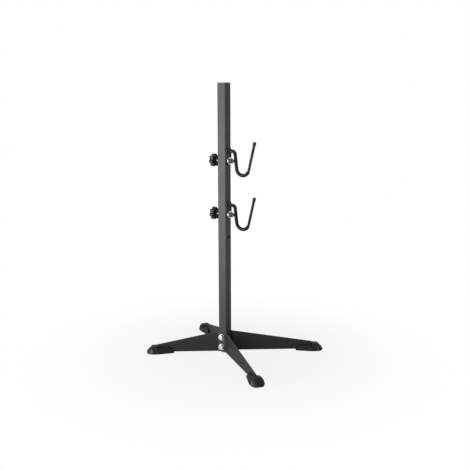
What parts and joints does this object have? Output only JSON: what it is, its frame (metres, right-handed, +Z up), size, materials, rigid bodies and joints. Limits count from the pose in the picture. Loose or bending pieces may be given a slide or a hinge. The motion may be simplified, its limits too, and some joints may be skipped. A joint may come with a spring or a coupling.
{
  "type": "floor bike stand",
  "caption": "Slim black steel post on spread sheet-steel legs with rubber boots, with clamped rod hooks that hold a bicycle by its rear stays.",
  "frame": {"origin": "on the floor, midway between the tips of the boots", "axes": "+Z up; +X the way the hooks and the long legs point; the near plate is on -Y"},
  "size_m": [0.3966, 0.3394, 0.7195],
  "materials": {
    "satin_black_paint": "satin black powder coat",
    "boot_rubber": "moulded, low sheen",
    "cap_plastic": "moulded, fine grain",
    "sleeve_vinyl": "glossy soft vinyl",
    "tip_plastic": "soft cap, low sheen",
    "knob_plastic": "moulded, fine grain",
    "zinc_plated_steel": "bright zinc plate"
  },
  "bodies": {
    "stand": {"post_tube": "satin_black_paint", "post_cap": "cap_plastic", "leg_plate_near": "satin_black_paint", "leg_plate_far": "satin_black_paint", "boot_near_long": "boot_rubber", "boot_near_short": "boot_rubber", "boot_far_long": "boot_rubber", "boot_far_short": "boot_rubber", "leg_bolt_upper": "zinc_plated_steel", "leg_bolt_lower": "zinc_plated_steel", "leg_washer_head_upper": "zinc_plated_steel", "leg_washer_head_lower": "zinc_plated_steel", "leg_washer_nut_upper": "zinc_plated_steel", "leg_washer_nut_lower": "zinc_plated_steel", "leg_nut_upper": "zinc_plated_steel", "leg_nut_lower": "zinc_plated_steel"},
    "upper_hook": {"upper_hook": "satin_black_paint", "upper_hook_sleeve": "sleeve_vinyl", "upper_hook_tip_cap": "tip_plastic", "upper_clamp_washer": "zinc_plated_steel", "upper_clamp_nut": "zinc_plated_steel", "upper_clamp_stud": "zinc_plated_steel"},
    "upper_knob_washer": {"upper_knob_washer": "zinc_plated_steel"},
    "upper_knob": {"upper_knob": "knob_plastic", "upper_knob_insert": "zinc_plated_steel"},
    "lower_hook": {"lower_hook": "satin_black_paint", "lower_hook_sleeve": "sleeve_vinyl", "lower_hook_tip_cap": "tip_plastic", "lower_clamp_washer": "zinc_plated_steel", "lower_clamp_nut": "zinc_plated_steel", "lower_clamp_stud": "zinc_plated_steel"},
    "lower_knob_washer": {"lower_knob_washer": "zinc_plated_steel"},
    "lower_knob": {"lower_knob": "knob_plastic", "lower_knob_insert": "zinc_plated_steel"}
  },
  "joints": [
    {"name": "upper_hook_turn", "type": "hinge", "parent": "stand", "child": "upper_hook", "pos_m": [-0.02219, 0, 0.5225], "axis": [1, 0, 0], "continuous": true},
    {"name": "upper_knob_travel", "type": "slide", "parent": "upper_hook", "child": "upper_knob_washer", "axis": [-1, 0, 0], "range_m": [0, 0.00375]},
    {"name": "upper_knob_turn", "type": "hinge", "parent": "upper_knob_washer", "child": "upper_knob", "pos_m": [-0.02219, 0, 0.5225], "axis": [-1, 0, 0], "range_deg": [0, 1080]},
    {"name": "lower_hook_turn", "type": "hinge", "parent": "stand", "child": "lower_hook", "pos_m": [-0.02219, 0, 0.3825], "axis": [1, 0, 0], "continuous": true},
    {"name": "lower_knob_travel", "type": "slide", "parent": "lower_hook", "child": "lower_knob_washer", "axis": [-1, 0, 0], "range_m": [0, 0.00375]},
    {"name": "lower_knob_turn", "type": "hinge", "parent": "lower_knob_washer", "child": "lower_knob", "pos_m": [-0.02219, 0, 0.3825], "axis": [-1, 0, 0], "range_deg": [0, 1080]}
  ],
  "couplings": [
    {"joint": "upper_knob_travel", "follows": "upper_knob_turn", "m_per_rad": 0.00019894},
    {"joint": "lower_knob_travel", "follows": "lower_knob_turn", "m_per_rad": 0.00019894}
  ]
}
